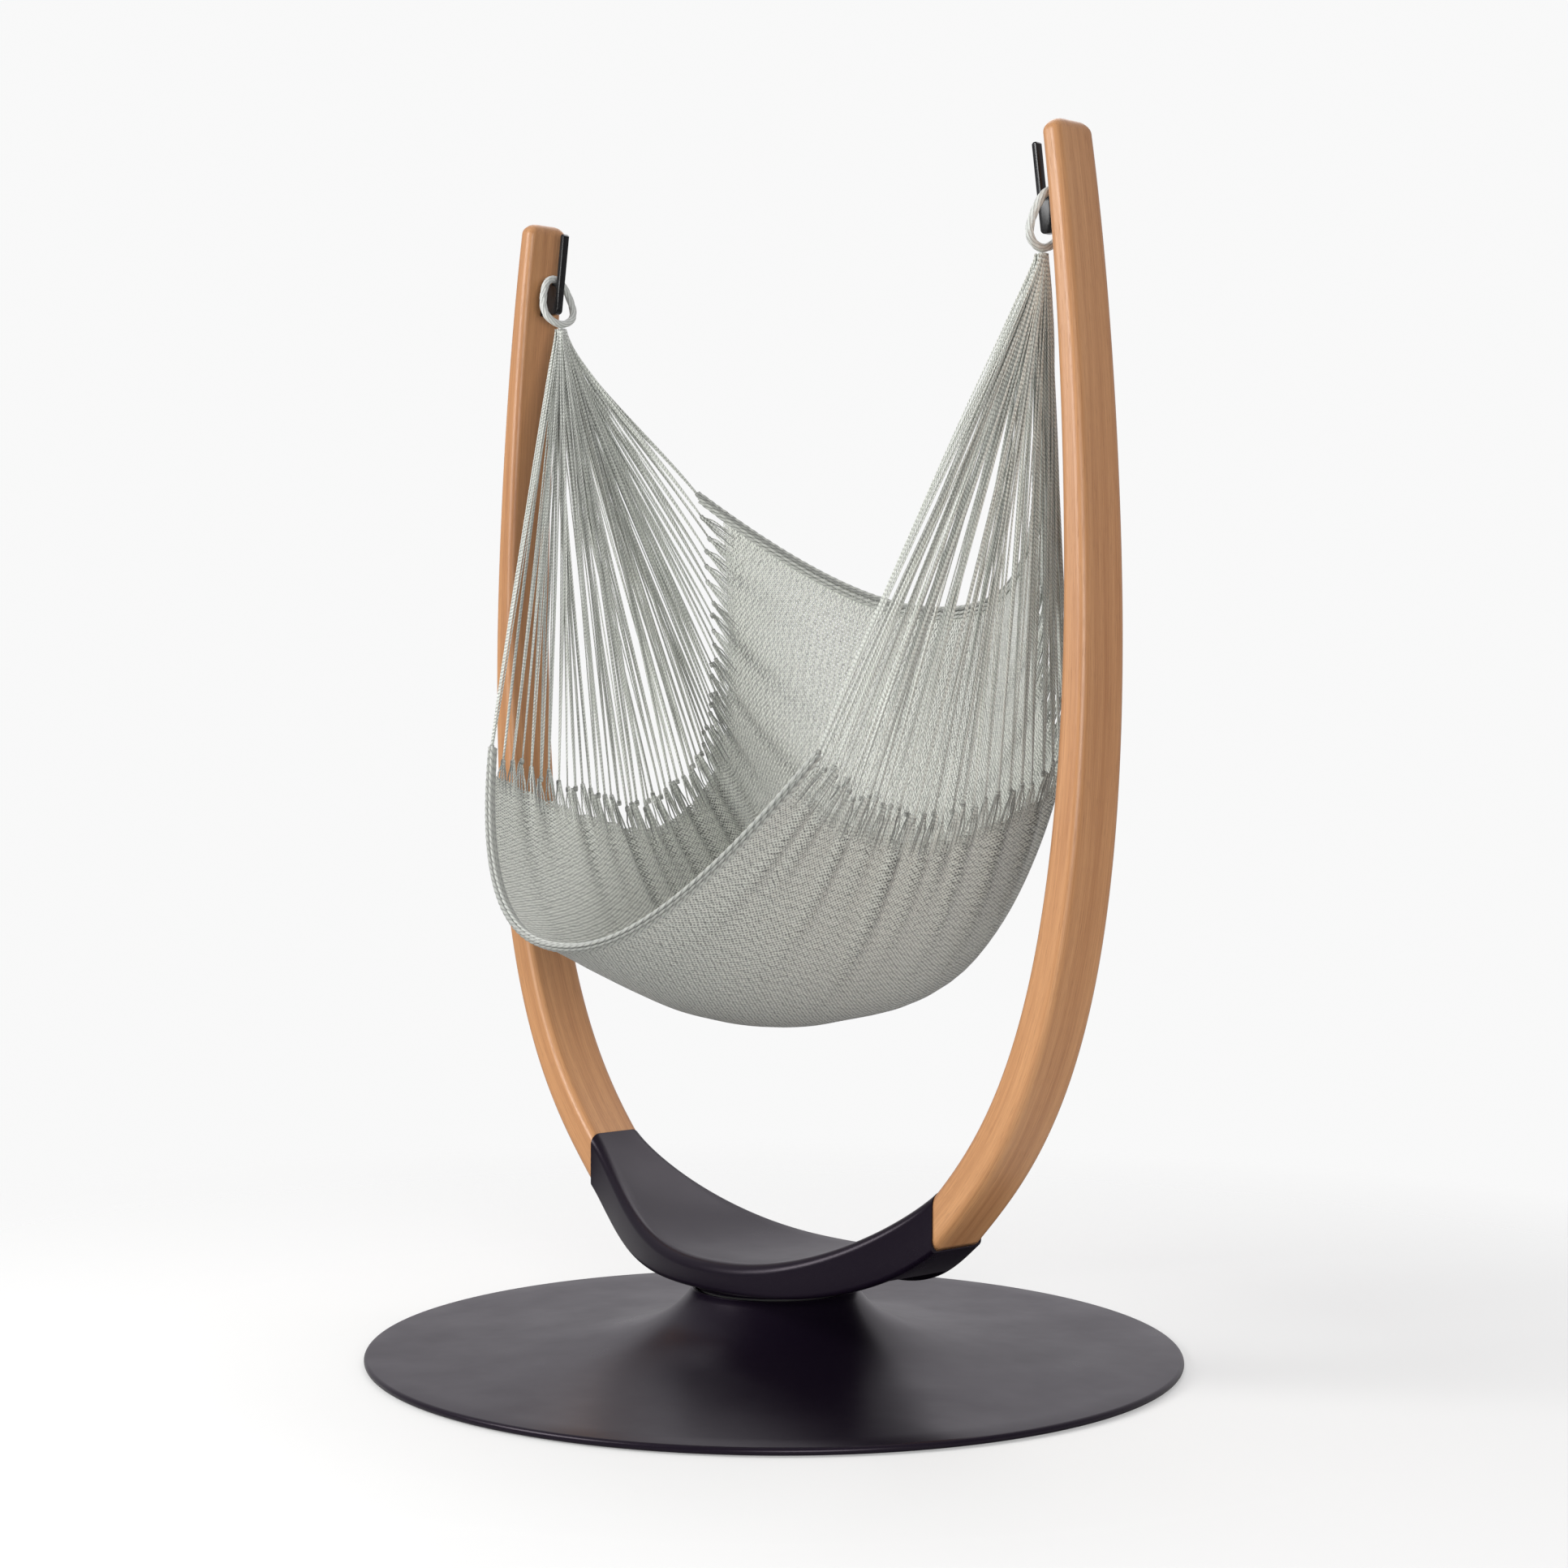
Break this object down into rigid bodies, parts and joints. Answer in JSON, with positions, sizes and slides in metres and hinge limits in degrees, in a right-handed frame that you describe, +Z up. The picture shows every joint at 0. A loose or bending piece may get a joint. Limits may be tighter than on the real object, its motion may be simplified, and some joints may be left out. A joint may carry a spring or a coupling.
{
  "type": "hammock chair on stand",
  "caption": "Woven hammock chair hung by rope loops from hooks on two curved wooden arms, on a black saddle-shaped yoke that swivels on a wide flared disc base.",
  "frame": {"origin": "centre of the round foot's footprint, on the floor", "axes": "+Z up, +X towards the right arm, -Y towards the front of the seat"},
  "size_m": [1.2902, 1.22, 1.7586],
  "materials": {
    "black_coat": "satin powder coat",
    "ballast_steel": "matt primer",
    "hook_black": "semi-gloss black",
    "bare_steel": "turned",
    "black_rubber": "matt",
    "oiled_wood": "satin, fine straight grain",
    "woven_cloth": "fine woven net",
    "selvedge_cord": "bundled cords",
    "yarn": "twisted yarn",
    "loop_rope": "braided rope"
  },
  "bodies": {
    "base": {"base_disc": "black_coat", "ballast_plate": "ballast_steel", "floor_pads": "black_rubber", "bearing_housing": "bare_steel", "housing_screws": "bare_steel", "lower_outer_race": "bare_steel", "lower_balls": "bare_steel", "upper_outer_race": "bare_steel", "upper_balls": "bare_steel"},
    "stand": {"spindle": "ballast_steel", "lower_inner_race": "bare_steel", "upper_inner_race": "bare_steel", "spacer_sleeve": "bare_steel", "dust_seal": "black_rubber", "lock_washer": "bare_steel", "lock_nut": "bare_steel", "hub_bolts": "bare_steel", "yoke": "black_coat", "left_arm": "oiled_wood", "right_arm": "oiled_wood", "arm_inserts": "bare_steel", "arm_bolts": "bare_steel", "left_hook": "hook_black", "right_hook": "hook_black", "hook_screws": "hook_black"},
    "hammock": {"hammock_bed": "woven_cloth", "front_edge_cord": "selvedge_cord", "back_edge_cord": "selvedge_cord", "left_strings": "yarn", "right_strings": "yarn", "left_loop": "loop_rope", "right_loop": "loop_rope", "left_binding": "yarn", "right_binding": "yarn"}
  },
  "joints": [
    {"name": "swivel", "type": "hinge", "parent": "base", "child": "stand", "pos_m": [0, 0, 0.1], "axis": [0, 0, 1], "continuous": true},
    {"name": "hammock_swing", "type": "hinge", "parent": "stand", "child": "hammock", "pos_m": [0, 0, 1.657], "axis": [1, 0, 0], "range_deg": [-20, 20]}
  ]
}
